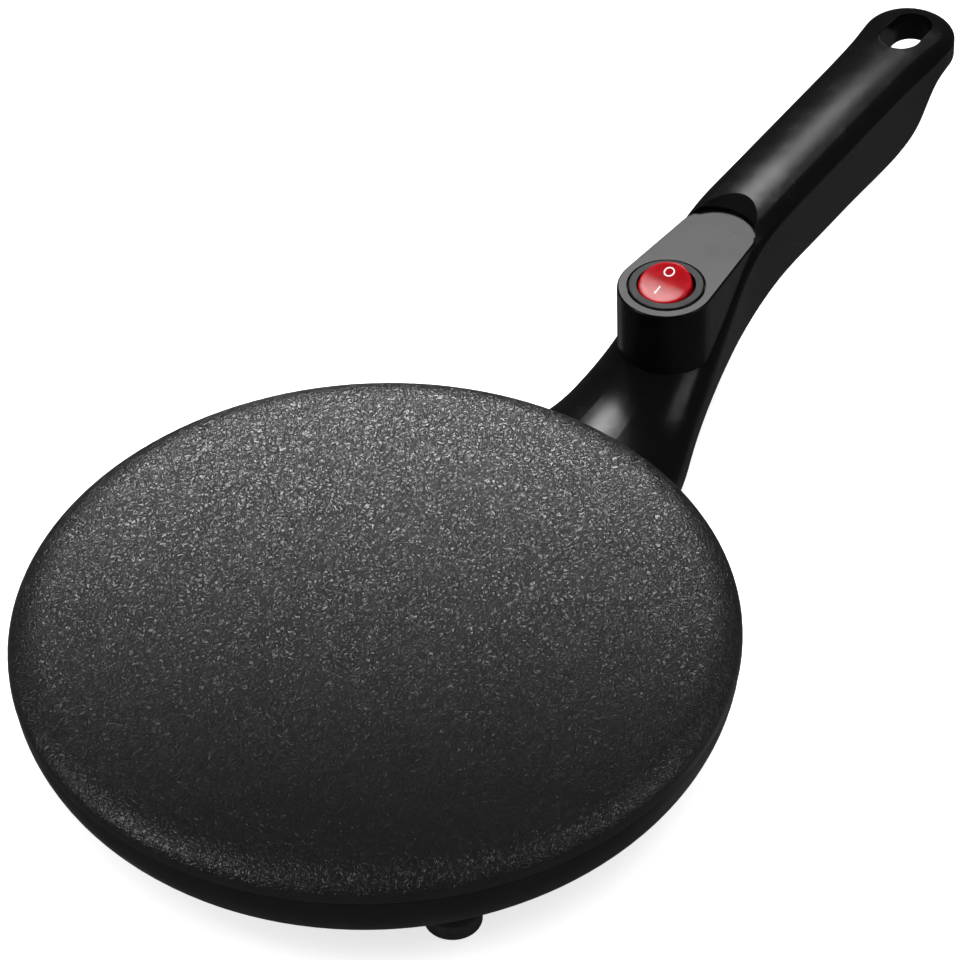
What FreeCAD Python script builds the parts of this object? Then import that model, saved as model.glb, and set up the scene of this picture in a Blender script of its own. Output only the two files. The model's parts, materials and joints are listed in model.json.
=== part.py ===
"""Electric crepe maker: a dipping hot plate on a shallow pan with a raised handle and a round rocker switch.

Frame: millimetres, +Z up, +X along the handle.  The origin is the centre of the cooking surface.
"""
import math
import os

import FreeCAD
import Part

V = FreeCAD.Vector
AXIS_X = V(1, 0, 0)
AXIS_Y = V(0, 1, 0)
AXIS_Z = V(0, 0, 1)

# Cooking plate
PLATE_R = 103.0
PLATE_FLAT_R = PLATE_R - 9.2
PLATE_H = 8.0
PLATE_CROWN_R = 12.0
PLATE_EDGE_R = 5.0
PLATE_T = 3.0
SEAM_GAP = 0.4

# Base pan, below the seam
PAN_DEPTH = 25.5
PAN_REVEAL = 0.3
PAN_WALL = 2.2
PAD_H = 2.5
PAD_R = 8.7

# Feet, on a rectangle about the plate's axis
FOOT_X = PLATE_R - 50.5
FOOT_Y = PLATE_R - 42.6
FOOT_R = 8.15
FOOT_H = 6.0
FOOT_EDGE = 0.8

# Screws and their holes
SCREW_R = 1.5
PILOT_GAP = 0.06
PASS_GAP = 0.3
HEAD_R = 3.0
HEAD_H = 2.0
BOSS_WALL = 2.0

# Heating element and what is fixed under the plate
ELEMENT_R = PLATE_R - 41.0
ELEMENT_TUBE_R = 3.3
ELEMENT_OPEN_DEG = 24.0
SEAT_GAP = 0.05
CLIP_T = 0.8
CLIP_W = 10.0
CLIP_BOSS_R = ELEMENT_R - ELEMENT_TUBE_R - 4.7
CLIP_COUNT = 3
SHIELD_BOSS_R = CLIP_BOSS_R - 16.0
THERMOSTAT_X = SHIELD_BOSS_R - 20.0
THERMOSTAT_FLANGE_R = 8.0
THERMOSTAT_BODY_R = 6.5
THERMOSTAT_FLANGE_H = 2.4
THERMOSTAT_BODY_H = 7.0
FUSE_X = -20.0
FUSE_R = 2.5
FUSE_LENGTH = 26.0
SHIELD_R = PLATE_R - 29.0
SHIELD_T = 0.6
SHIELD_Z = -17.0
SHIELD_RIM_H = 4.0
SHIELD_BOSS_COUNT = 3

# Handle
SEAM_Z = -PLATE_H
HANDLE_WALL = 2.3
HANDLE_LENGTH = 194.0
HANDLE_END_X = PLATE_R + HANDLE_LENGTH
HANDLE_CAVITY_END_X = HANDLE_END_X - 17.0
PAN_JOINT_GAP = 0.1
# Each station: x, half width, crown height, underside height, crown half width, top of the side wall,
# crown drop and lower corner size, with heights from the seam.  The neck's x is measured from the plate's
# rim, and the grip's from the centre of its round end.
NECK_STATIONS = [
    (-11.0, 28.5, -12.0, -29.3, 7.0, -25.5, 0.6, 2.5),
    (5.0, 27.5, -10.5, -29.3, 7.0, -25.0, 0.6, 2.5),
    (18.0, 25.5, -9.2, -29.2, 6.5, -24.8, 0.6, 2.5),
    (28.0, 22.4, -7.0, -28.0, 6.0, -23.5, 0.6, 2.5),
    (39.0, 19.3, -2.6, -23.8, 6.0, -18.5, 0.6, 2.5),
    (49.0, 17.2, 2.2, -20.0, 6.5, -13.0, 0.6, 2.6),
    (59.0, 15.5, 8.2, -16.6, 7.5, -5.0, 0.8, 2.8),
    (69.0, 14.3, 14.8, -13.2, 8.3, 4.5, 1.0, 3.0),
    (79.0, 13.6, 19.8, -10.2, 8.8, 12.5, 1.2, 3.0),
    (90.0, 13.4, 21.9, -7.4, 9.0, 16.2, 1.3, 3.0),
    (105.0, 13.3, 22.3, -6.1, 9.0, 16.8, 1.3, 3.0),
]
GRIP_STATIONS = [
    (-65.0, 13.3, 22.3, -6.4, 9.0, 16.8, 1.3, 3.0),
    (-40.0, 13.3, 22.3, -7.2, 9.0, 16.8, 1.3, 3.0),
    (-26.0, 13.4, 22.2, -6.9, 9.1, 16.7, 1.3, 3.0),
    (-17.0, 13.6, 22.1, -4.2, 9.3, 16.6, 1.3, 3.0),
    (-11.0, 13.9, 22.0, 2.2, 9.6, 16.6, 1.3, 2.6),
    (-6.0, 14.2, 21.8, 7.6, 10.0, 17.0, 1.3, 2.2),
    (0.0, 14.5, 21.6, 10.3, 10.4, 17.4, 1.3, 2.0),
]
STATIONS = ([(PLATE_R + s[0], *s[1:]) for s in NECK_STATIONS]
            + [(HANDLE_END_X + s[0], *s[1:]) for s in GRIP_STATIONS])
# The shells part along this line, heights from the seam
NECK_PARTING = [(-23.0, -24.6), (5.0, -24.6), (28.0, -22.6), (49.0, -14.0), (69.0, -6.8),
                (89.0, -0.5), (112.0, 2.4)]
GRIP_PARTING = [(-52.0, 2.6), (-27.0, 2.4), (-13.0, 6.5), (-8.0, 9.6)]
PARTING = [(PLATE_R + x, z) for x, z in NECK_PARTING] + [(HANDLE_END_X + x, z) for x, z in GRIP_PARTING]
PARTING_FLOOR = -70.0

# Round rocker switch
ROCKER_R = 8.25
ROCKER_SIDE_GAP = 0.65
BARREL_WALL = 1.1
BARREL_R = ROCKER_R + ROCKER_SIDE_GAP + BARREL_WALL
BEZEL_R = BARREL_R + 1.5
BEZEL_T = 1.9
BEZEL_RECESS_GAP = 0.4
BEZEL_RECESS = 1.5
BARREL_GAP = 0.15
BARREL_DEPTH = 14.5
BARREL_FLOOR = 1.6
ROCKER_TOP = 3.4
ROCKER_SKIRT = 1.6
ROCKER_EDGE = 0.5
ROCKER_DISH = 0.55
ROCKER_DISH_R = 42.0
ROCKER_PIVOT_DEPTH = 2.7
ROCKER_HALF_THROW = 13.0
ROCKER_ROOF = 1.4
ROCKER_SIDE_WALL = 1.2
ROCKER_RIB_HALF = 1.6
LAMP_R = 1.4
LAMP_RIB_GAP = 0.9
LAMP_END_GAP = 0.448924
ROCKER_PIN_R = 1.2
ROCKER_PIN_GAP = 0.05
STEM_R = 1.9
STEM_FOOT = 6.6
PLUNGER_R = 1.1
PLUNGER_FOOT = 8.0
BLADE_GAP = 0.3
BLADE_T = 0.5
BLADE_HALF = ROCKER_R - 1.85
BLADE_W = 4.2
BLADE_HALF_THROW = 6.0
BLADE_PIN_R = 0.6
TERMINAL_T = 0.8
TERMINAL_W = 4.8
TERMINAL_FOOT = 23.0

# Switch tower on the neck
TOWER_X = PLATE_R + 50.7
TOWER_R = BEZEL_R + 3.2
TOWER_TOP = 18.25
TOWER_BACK_X = TOWER_X + 30.3
TOWER_BACK_HALF = 12.2
TOWER_END_X = TOWER_X + 39.3
TOWER_FOOT = -12.0
TOWER_WELL_FOOT = -8.0
WELL_ROOF_STEP = 0.1
TOWER_HEEL_X = TOWER_X + 16.3
TOWER_HEEL_FOOT = -4.0
SCOOP_R = 11.4
SCOOP_X = TOWER_X + 25.6
SCOOP_RUN = 7.2
SCOOP_RISE = 3.75

# Hanging slot
SLOT_X = HANDLE_END_X - 1.55
SLOT_R = 6.3
SLOT_HALF = 3.6
SLOT_LIP = 1.3

# Cord gland under the neck
GLAND_X = TOWER_X + 16.8
GLAND_BORE_R = 3.5
GLAND_R = GLAND_BORE_R + 1.5
GLAND_FOOT = -31.5
TURRET_FOOT = -23.0
TURRET_R = GLAND_R + 2.4
TURRET_TIP_R = GLAND_R + 1.6

# Handle and neck fasteners
HANDLE_SCREW_X = (PLATE_R + 104.0, HANDLE_END_X - 35.0)
HANDLE_BOSS_R = 3.6
NECK_SCREW_Y = 15.0
NECK_SCREW_Z = -17.5
NECK_BOSS_R = 5.0
NECK_BOSS_START_X = PLATE_R - 23.0
NECK_BOSS_END_X = PLATE_R + 9.0
PAN_PAD_X = PLATE_R - 17.0
WIRE_HOLE_R = 6.0
WIRE_HOLE_Z = -16.0
CLAMP_X = TOWER_X + 36.3
CLAMP_Y = 7.2
CLAMP_Z = 1.5
CLAMP_T = 2.5
CLAMP_W = 7.0


def at_seam(height):
    """Row-frame height of a level measured from the seam."""
    return SEAM_Z + height


def quarter(start, corner, end):
    """Quarter ellipse from start to end, tangent to the two lines that meet at corner."""
    curve = Part.BezierCurve()
    curve.setPoles([start, corner, end])
    curve.setWeight(2, math.sqrt(0.5))
    return curve.toShape()


def line(start, end):
    return Part.LineSegment(start, end).toShape()


def cylinder(radius, base, height, axis=AXIS_Z):
    return Part.makeCylinder(radius, height, base, axis)


def box(x_range, y_range, z_range):
    size = [high - low for low, high in (x_range, y_range, z_range)]
    return Part.makeBox(size[0], size[1], size[2], V(x_range[0], y_range[0], z_range[0]))


def revolve(edges):
    """Solid of revolution about Z of a closed outline in the XZ plane."""
    face = Part.Face(Part.Wire(Part.__sortEdges__(edges)))
    return face.revolve(V(0, 0, 0), AXIS_Z, 360)


def ring_points(radius, count, start_deg):
    """Points spaced evenly on a circle about Z."""
    angles = [math.radians(start_deg + 360.0 * i / count) for i in range(count)]
    return [V(radius * math.cos(a), radius * math.sin(a), 0) for a in angles]


def foot_points():
    return [V(sx * FOOT_X, sy * FOOT_Y, 0) for sx in (-1, 1) for sy in (-1, 1)]


def lifted(point, z):
    return V(point.x, point.y, z)


def screw(seat, axis, length, radius=SCREW_R, head_r=HEAD_R, head_h=HEAD_H):
    """Pan-head screw whose head bears on seat and whose shank runs along axis."""
    back = V(axis).multiply(-head_h)
    edge = head_h * 0.4
    rim = seat + V(axis).multiply(edge - head_h)
    chamfer = Part.makeCone(head_r - edge, head_r, edge, seat + back, axis)
    head = cylinder(head_r, rim, head_h - edge, axis).fuse(chamfer)
    slot = cylinder(head_r * 0.42, seat + back, head_h * 0.5, axis)
    return head.cut(slot).fuse(cylinder(radius, seat, length, axis)).removeSplitter()


def group(solids):
    return Part.makeCompound(solids)


def pan_solid(grow=0.0):
    """Solid bowl with a flat floor and a quarter-round wall, grown or shrunk by an offset."""
    rim_r = PLATE_R - PAN_REVEAL + grow
    bend_x = PLATE_R - PAN_REVEAL - PAN_DEPTH
    bend_r = PAN_DEPTH + grow
    floor_z = at_seam(-bend_r)
    half = math.sqrt(0.5) * bend_r
    wall = Part.Arc(V(bend_x, 0, floor_z), V(bend_x + half, 0, SEAM_Z - half), V(rim_r, 0, SEAM_Z)).toShape()
    return revolve([line(V(0, 0, floor_z), V(bend_x, 0, floor_z)), wall,
                    line(V(rim_r, 0, SEAM_Z), V(0, 0, SEAM_Z)),
                    line(V(0, 0, SEAM_Z), V(0, 0, floor_z))])


def plate_underside():
    return -PLATE_T


def plate_boss_foot():
    return SHIELD_Z + 3.0


def body_boss(point, foot_z, radius=SCREW_R + BOSS_WALL):
    """Boss cast under the plate, from its underside down to foot_z."""
    return cylinder(radius, lifted(point, foot_z), plate_underside() + 0.5 - foot_z)


def pilot(point, foot_z, depth, radius=SCREW_R):
    return cylinder(radius + PILOT_GAP, lifted(point, foot_z - 1), depth + 1)


def clip_bosses():
    return ring_points(CLIP_BOSS_R, CLIP_COUNT, 60)


def shield_bosses():
    return ring_points(SHIELD_BOSS_R, SHIELD_BOSS_COUNT, 0)


def clip_seat_z():
    return plate_underside() - 2 * ELEMENT_TUBE_R - 2 * SEAT_GAP


def thermostat_screws():
    offset = THERMOSTAT_FLANGE_R + 4.5
    return [V(THERMOSTAT_X, side * offset, 0) for side in (-1, 1)]


def thermostat_seat_z():
    return plate_underside() - SEAT_GAP - THERMOSTAT_FLANGE_H


def fuse_screw():
    return V(FUSE_X - FUSE_R - 5.0, 0, 0)


def fuse_seat_z():
    return plate_underside() - 2 * FUSE_R - 2 * SEAT_GAP


def rim_arcs(inset):
    """Crown arc and edge arc of the plate's rounded rim, tangent to each other, drawn inset."""
    crown = V(PLATE_FLAT_R, 0, -PLATE_CROWN_R)
    edge_x = PLATE_R - PLATE_EDGE_R
    rise = math.sqrt((PLATE_CROWN_R - PLATE_EDGE_R) ** 2 - (edge_x - PLATE_FLAT_R) ** 2)
    edge = V(edge_x, 0, -PLATE_CROWN_R + rise)
    turn = math.atan2(edge.z - crown.z, edge.x - crown.x)

    def on(centre, radius, angle):
        return centre + V(math.cos(angle), 0, math.sin(angle)).multiply(radius - inset)

    top = on(crown, PLATE_CROWN_R, math.pi / 2)
    meet = on(crown, PLATE_CROWN_R, turn)
    low = on(edge, PLATE_EDGE_R, 0)
    first = Part.Arc(top, on(crown, PLATE_CROWN_R, (turn + math.pi / 2) / 2), meet).toShape()
    second = Part.Arc(meet, on(edge, PLATE_EDGE_R, turn / 2), low).toShape()
    return top, [first, second], low


def cooking_plate():
    """Cast plate with a rounded rim, a skirt and the bosses for what it carries."""
    foot_z = -PLATE_H + SEAM_GAP
    under = plate_underside()
    top, outside, rim = rim_arcs(0.0)
    top_in, inside, rim_in = rim_arcs(PLATE_T)
    foot = V(rim.x, 0, foot_z)
    foot_in = V(rim_in.x, 0, foot_z)
    edges = outside + inside
    edges += [line(V(0, 0, 0), top), line(rim, foot), line(foot, foot_in), line(foot_in, rim_in),
              line(top_in, V(0, 0, under)), line(V(0, 0, under), V(0, 0, 0))]
    plate = revolve(edges)
    spots = [(foot_points(), plate_boss_foot()),
             (clip_bosses(), clip_seat_z()),
             (shield_bosses(), SHIELD_Z),
             (thermostat_screws(), thermostat_seat_z()),
             ([fuse_screw()], fuse_seat_z())]
    for points, foot in spots:
        for point in points:
            plate = plate.fuse(body_boss(point, foot))
            plate = plate.cut(pilot(point, foot, under - foot + 1.4))
    return plate.removeSplitter()


def heating_element():
    """Sheathed tube bent into an open ring under the plate."""
    z = plate_underside() - SEAT_GAP - ELEMENT_TUBE_R
    section = Part.Face(Part.Wire(Part.makeCircle(ELEMENT_TUBE_R, V(ELEMENT_R, 0, z), AXIS_Y)))
    section.rotate(V(0, 0, 0), AXIS_Z, ELEMENT_OPEN_DEG / 2)
    return section.revolve(V(0, 0, 0), AXIS_Z, 360 - ELEMENT_OPEN_DEG)


def element_terminals():
    """Ceramic bead and cold pin at each end of the tube."""
    z = plate_underside() - SEAT_GAP - ELEMENT_TUBE_R
    parts = []
    for side in (-1, 1):
        angle = math.radians(side * ELEMENT_OPEN_DEG / 2)
        end = V(ELEMENT_R * math.cos(angle), ELEMENT_R * math.sin(angle), z)
        away = V(math.sin(angle), -math.cos(angle), 0).multiply(side)
        bead = cylinder(ELEMENT_TUBE_R - 0.5, end, 3.5, away)
        pin = cylinder(1.1, end + V(away).multiply(3.0), 5.0, away)
        parts.append(bead.fuse(pin).removeSplitter())
    return group(parts)


def element_clips():
    """Strap clips that hold the tube against the plate."""
    clips = []
    seat = clip_seat_z()
    reach = ELEMENT_R + ELEMENT_TUBE_R + 1.5
    for index in range(CLIP_COUNT):
        strap = box((CLIP_BOSS_R - 4.5, reach), (-CLIP_W / 2, CLIP_W / 2), (seat - CLIP_T, seat))
        lip = box((reach - CLIP_T, reach), (-CLIP_W / 2, CLIP_W / 2), (seat, seat + 3.0))
        hole = cylinder(SCREW_R + PASS_GAP, V(CLIP_BOSS_R, 0, seat - 2), 4)
        clip = strap.fuse(lip).cut(hole).removeSplitter()
        clip.rotate(V(0, 0, 0), AXIS_Z, 60 + 360.0 * index / CLIP_COUNT)
        clips.append(clip)
    return group(clips)


def up_screws(points, seat_z, length):
    return group([screw(lifted(p, seat_z), AXIS_Z, length) for p in points])


def clip_screws():
    return up_screws(clip_bosses(), clip_seat_z() - CLIP_T, 7.0)


def thermostat():
    """Snap-disc thermostat with its cap against the plate and two blades below."""
    top = plate_underside() - SEAT_GAP
    cap = cylinder(THERMOSTAT_FLANGE_R, V(THERMOSTAT_X, 0, top - THERMOSTAT_FLANGE_H), THERMOSTAT_FLANGE_H)
    foot = top - THERMOSTAT_FLANGE_H - THERMOSTAT_BODY_H
    body = cylinder(THERMOSTAT_BODY_R, V(THERMOSTAT_X, 0, foot), THERMOSTAT_BODY_H)
    for side in (-1, 1):
        x = THERMOSTAT_X + side * 3.8
        body = body.fuse(box((x - 0.4, x + 0.4), (-3.1, 3.1), (foot - 2.6, foot + 1)))
    return cap.fuse(body).removeSplitter()


def thermostat_bracket():
    """Pressed strap round the thermostat's body, under its cap."""
    seat = thermostat_seat_z()
    spots = thermostat_screws()
    half = abs(spots[0].y) + 4.0
    strap = box((THERMOSTAT_X - 5.5, THERMOSTAT_X + 5.5), (-half, half), (seat - CLIP_T, seat))
    collar = cylinder(THERMOSTAT_FLANGE_R + 1.2, V(THERMOSTAT_X, 0, seat - CLIP_T), CLIP_T)
    hole = cylinder(THERMOSTAT_BODY_R + 0.15, V(THERMOSTAT_X, 0, seat - 3), 6)
    strap = strap.fuse(collar).cut(hole)
    for spot in spots:
        strap = strap.cut(cylinder(SCREW_R + PASS_GAP, lifted(spot, seat - 3), 6))
    return strap.removeSplitter()


def bracket_screws():
    return up_screws(thermostat_screws(), thermostat_seat_z() - CLIP_T, 3.4)


def thermal_fuse():
    """Sleeved thermal fuse lying under the plate."""
    z = plate_underside() - SEAT_GAP - FUSE_R
    sleeve = cylinder(FUSE_R, V(FUSE_X, -FUSE_LENGTH / 2, z), FUSE_LENGTH, AXIS_Y)
    lead = cylinder(0.6, V(FUSE_X, -FUSE_LENGTH / 2 - 5, z), FUSE_LENGTH + 10, AXIS_Y)
    return sleeve.fuse(lead).removeSplitter()


def fuse_clamp():
    seat = fuse_seat_z()
    spot = fuse_screw()
    strap = box((spot.x - 4.0, FUSE_X + FUSE_R + 1.2), (-4.5, 4.5), (seat - CLIP_T, seat))
    lip = box((FUSE_X + FUSE_R + 0.4, FUSE_X + FUSE_R + 1.2), (-4.5, 4.5), (seat, seat + 3.0))
    return strap.fuse(lip).cut(cylinder(SCREW_R + PASS_GAP, lifted(spot, seat - 3), 6)).removeSplitter()


def fuse_screw_solid():
    return screw(lifted(fuse_screw(), fuse_seat_z() - CLIP_T), AXIS_Z, 5.4)


def heat_shield():
    """Pressed reflector dish that keeps the heat off the pan."""
    low = SHIELD_Z - SHIELD_T
    rim_z = SHIELD_Z + SHIELD_RIM_H
    outline = [V(0, 0, SHIELD_Z), V(SHIELD_R - 4, 0, SHIELD_Z), V(SHIELD_R, 0, rim_z),
               V(SHIELD_R + SHIELD_T, 0, rim_z), V(SHIELD_R - 4 + SHIELD_T, 0, low), V(0, 0, low)]
    dish = revolve([line(a, b) for a, b in zip(outline, outline[1:] + outline[:1])])
    for point in shield_bosses():
        dish = dish.cut(cylinder(SCREW_R + PASS_GAP, lifted(point, low - 2), 5))
    clear = SCREW_R + BOSS_WALL + 2.0
    for point in foot_points():
        dish = dish.cut(cylinder(clear + 1.5, lifted(point, low - 2), SHIELD_RIM_H + 6))
    return dish.removeSplitter()


def shield_screws():
    return up_screws(shield_bosses(), SHIELD_Z - SHIELD_T, 10.0)


def base_pan():
    """Moulded bowl with screw posts, foot pads, a wire hole and two pads for the neck screws."""
    outer = pan_solid()
    inner = pan_solid(-PAN_WALL)
    pads = [cylinder(PAD_R, lifted(p, at_seam(-PAN_DEPTH - PAD_H)), PAD_H + 8) for p in foot_points()]
    pan = outer.fuse(pads).cut(inner)
    post_top = plate_boss_foot() - SEAT_GAP
    floor_z = at_seam(-PAN_DEPTH)
    for point in foot_points():
        pan = pan.fuse(cylinder(SCREW_R + BOSS_WALL + 0.8, lifted(point, floor_z), post_top - floor_z))
    for side in (-1, 1):
        pad = cylinder(NECK_BOSS_R, V(PAN_PAD_X, side * NECK_SCREW_Y, at_seam(NECK_SCREW_Z)), 14, AXIS_X)
        pan = pan.fuse(pad.common(outer))
    for point in foot_points():
        pan = pan.cut(cylinder(SCREW_R + PASS_GAP, lifted(point, floor_z - 10), 40))
    for side in (-1, 1):
        centre = V(PAN_PAD_X - 5, side * NECK_SCREW_Y, at_seam(NECK_SCREW_Z))
        pan = pan.cut(cylinder(SCREW_R + PASS_GAP, centre, 30, AXIS_X))
    pan = pan.cut(cylinder(WIRE_HOLE_R, V(PAN_PAD_X - 16, 0, at_seam(WIRE_HOLE_Z)), 50, AXIS_X))
    return pan.removeSplitter()


def body_screws():
    """Long screws from under the pads into the plate's bosses."""
    seat = at_seam(-PAN_DEPTH - PAD_H)
    length = plate_boss_foot() - seat + 8.0
    return up_screws(foot_points(), seat, length)


def rubber_feet():
    """Round feet stuck on the pads, hollow over the screw heads."""
    top = at_seam(-PAN_DEPTH - PAD_H)
    feet = []
    for point in foot_points():
        foot = cylinder(FOOT_R, lifted(point, top - FOOT_H), FOOT_H)
        rim = [e for e in foot.Edges if abs(e.CenterOfMass.z - (top - FOOT_H)) < 0.01]
        foot = foot.makeFillet(FOOT_EDGE, rim)
        feet.append(foot.cut(cylinder(HEAD_R + 0.3, lifted(point, top - HEAD_H - 0.4), 5)))
    return group(feet)


def section(station, inset=0.0):
    """Closed outline across the handle at one station, drawn inset from its outer face."""
    x, half, crown, under, flat, side, drop, corner = station
    half = half - inset
    crown = at_seam(crown - inset)
    under = at_seam(under + inset)
    flat = flat - 0.4 * inset
    side = min(at_seam(side), crown - drop - 1.0)
    corner = max(corner - 0.6 * inset, 0.8)
    radius = (flat ** 2 + drop ** 2) / (2 * drop)
    slope = flat / math.sqrt(radius ** 2 - flat ** 2)
    shoulder = crown - drop
    knee = shoulder - slope * (half - flat)

    def point(y, z):
        return V(x, y, z)

    edges = [Part.Arc(point(flat, shoulder), point(0, crown), point(-flat, shoulder)).toShape(),
             quarter(point(-flat, shoulder), point(-half, knee), point(-half, side)),
             line(point(-half, side), point(-half, under + corner)),
             quarter(point(-half, under + corner), point(-half, under), point(-half + corner, under)),
             line(point(-half + corner, under), point(half - corner, under)),
             quarter(point(half - corner, under), point(half, under), point(half, under + corner)),
             line(point(half, under + corner), point(half, side)),
             quarter(point(half, side), point(half, knee), point(flat, shoulder))]
    return Part.Wire(edges)


def end_cap():
    """Half-round end with the last station's own profile."""
    wire = section(STATIONS[-1])
    face = Part.Face(wire)
    half = face.common(box((HANDLE_END_X - 1, HANDLE_END_X + 1), (0, 40), (-60, 60)))
    return half.revolve(V(HANDLE_END_X, 0, 0), AXIS_Z, -180)


def handle_body():
    loft = Part.makeLoft([section(s) for s in STATIONS], True, False)
    return loft.fuse(end_cap())


def tower_outline(inset, z):
    """Plan outline of the switch tower: a round front, tapering sides and a closed back."""
    radius = TOWER_R - inset
    back_half = TOWER_BACK_HALF - inset
    taper = math.atan2(radius - back_half, TOWER_BACK_X - TOWER_X)
    touch_x = TOWER_X + radius * math.sin(taper)
    touch_y = radius * math.cos(taper)
    front = Part.Arc(V(touch_x, touch_y, z), V(TOWER_X - radius, 0, z), V(touch_x, -touch_y, z)).toShape()
    end_x = TOWER_END_X - inset
    back = Part.Arc(V(TOWER_BACK_X, -back_half, z), V(end_x, 0, z), V(TOWER_BACK_X, back_half, z)).toShape()
    return Part.Wire([front, line(V(touch_x, -touch_y, z), V(TOWER_BACK_X, -back_half, z)), back,
                      line(V(TOWER_BACK_X, back_half, z), V(touch_x, touch_y, z))])


def tower(inset=0.0, top=TOWER_TOP, foot=TOWER_FOOT):
    """Upright block of the tower's outline, with a shorter foot where the neck rises behind it."""
    face = Part.Face(tower_outline(inset, at_seam(foot)))
    block = face.extrude(V(0, 0, top - foot))
    heel_top = at_seam(min(TOWER_HEEL_FOOT, top))
    heel = box((TOWER_HEEL_X, TOWER_END_X + 1), (-TOWER_R, TOWER_R), (at_seam(TOWER_FOOT) - 1, heel_top))
    return block.cut(heel) if foot < TOWER_HEEL_FOOT else block


def scoop():
    """Slanting round cut that leads from the tower's flat top up to the grip's crest."""
    floor = at_seam(TOWER_TOP)
    disc = Part.Face(Part.Wire(Part.makeCircle(SCOOP_R, V(SCOOP_X, 0, floor), AXIS_Z)))
    steps = 4.0
    slant = disc.extrude(V(SCOOP_RUN * steps, 0, SCOOP_RISE * steps))
    above = tower(0.0, TOWER_TOP + 20, TOWER_TOP)
    return slant.fuse(above)


def hanging_slot():
    """Slot through the end of the handle, flared at both rims."""
    low = at_seam(STATIONS[-1][3])
    high = at_seam(STATIONS[-1][2])

    def stadium(radius, z):
        left, right = SLOT_X - SLOT_HALF, SLOT_X + SLOT_HALF
        far = Part.Arc(V(right, -radius, z), V(right + radius, 0, z), V(right, radius, z)).toShape()
        near = Part.Arc(V(left, radius, z), V(left - radius, 0, z), V(left, -radius, z)).toShape()
        return Part.Wire([line(V(left, -radius, z), V(right, -radius, z)), far,
                          line(V(right, radius, z), V(left, radius, z)), near])

    slot = Part.Face(stadium(SLOT_R, low - 5)).extrude(V(0, 0, high - low + 10))
    for face_z, sense in ((high, 1), (low, -1)):
        steps = 4
        for i in range(steps):
            a = math.pi / 2 * (i + 0.5) / steps
            grow = SLOT_LIP * (1 - math.cos(a))
            depth = SLOT_LIP * (1 - math.sin(a))
            start = face_z - sense * depth
            ring = Part.Face(stadium(SLOT_R + grow, start)).extrude(V(0, 0, sense * (depth + 3)))
            slot = slot.fuse(ring)
    return slot


def handle_cavity():
    """Hollow of the neck, the grip and the tower."""
    stations = [s for s in STATIONS if s[0] <= HANDLE_CAVITY_END_X]
    first = (stations[0][0] - 10, *stations[0][1:])
    loft = Part.makeLoft([section(s, HANDLE_WALL) for s in [first] + stations], True, False)
    well = tower(HANDLE_WALL, TOWER_TOP - HANDLE_WALL, TOWER_WELL_FOOT)
    return loft.fuse(well)


def parting_block():
    """Everything below the line where the two shells part."""
    points = [V(x, -60, at_seam(z)) for x, z in PARTING]
    curve = Part.BSplineCurve()
    curve.interpolate(points)
    first, last = points[0], points[-1]
    low_a = V(first.x, -60, PARTING_FLOOR)
    low_b = V(last.x, -60, PARTING_FLOOR)
    wire = Part.Wire([curve.toShape(), line(last, low_b), line(low_b, low_a), line(low_a, first)])
    return Part.Face(wire).extrude(V(0, 120, 0))


def pan_clearance():
    """What the neck is cut back from: the pan grown by the joint's gap."""
    return pan_solid(PAN_JOINT_GAP)


def top_bosses(outer):
    """Screw bosses inside the top shell, and the thick roof that keeps the wall whole under the scoop."""
    bosses = []
    for x in HANDLE_SCREW_X:
        bosses.append(cylinder(HANDLE_BOSS_R, V(x, 0, at_seam(3.0)), 18))
    for side in (-1, 1):
        start = V(NECK_BOSS_START_X, side * NECK_SCREW_Y, at_seam(NECK_SCREW_Z))
        bosses.append(cylinder(NECK_BOSS_R, start, NECK_BOSS_END_X - NECK_BOSS_START_X, AXIS_X))
    roof = at_seam(TOWER_TOP - HANDLE_WALL - WELL_ROOF_STEP)
    far = SCOOP_X + SCOOP_R + 2 * HANDLE_WALL
    bosses.append(box((SCOOP_X, far), (-SCOOP_R, SCOOP_R), (roof, at_seam(TOWER_TOP + 2))))
    return group(bosses).common(outer)


def handle_top_shell(outer, cavity, block, clearance):
    shell = outer.cut(cavity).fuse(top_bosses(outer)).cut(block).cut(clearance)
    shell = shell.cut(hanging_slot())
    floor = at_seam(TOWER_TOP)
    shell = shell.cut(cylinder(BEZEL_R + BEZEL_RECESS_GAP, V(TOWER_X, 0, floor - BEZEL_RECESS), 5))
    shell = shell.cut(cylinder(BARREL_R + BARREL_GAP, V(TOWER_X, 0, floor - 10), 15))
    for x in HANDLE_SCREW_X:
        shell = shell.cut(cylinder(SCREW_R + PILOT_GAP, V(x, 0, at_seam(0)), 14))
    for side in (-1, 1):
        centre = V(NECK_BOSS_START_X, side * NECK_SCREW_Y, at_seam(NECK_SCREW_Z))
        pilot_depth = NECK_BOSS_END_X - NECK_BOSS_START_X - 3
        shell = shell.cut(cylinder(SCREW_R + PILOT_GAP, centre, pilot_depth, AXIS_X))
    return shell.removeSplitter()


def clamp_posts():
    return [V(CLAMP_X, side * CLAMP_Y, 0) for side in (-1, 1)]


def screw_seat_z(x):
    """Height of the screw heads' seat inside the bottom shell's counterbores."""
    lower = [s[3] for s in STATIONS if abs(s[0] - x) < 16]
    return at_seam(max(lower) + 3.6)


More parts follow.
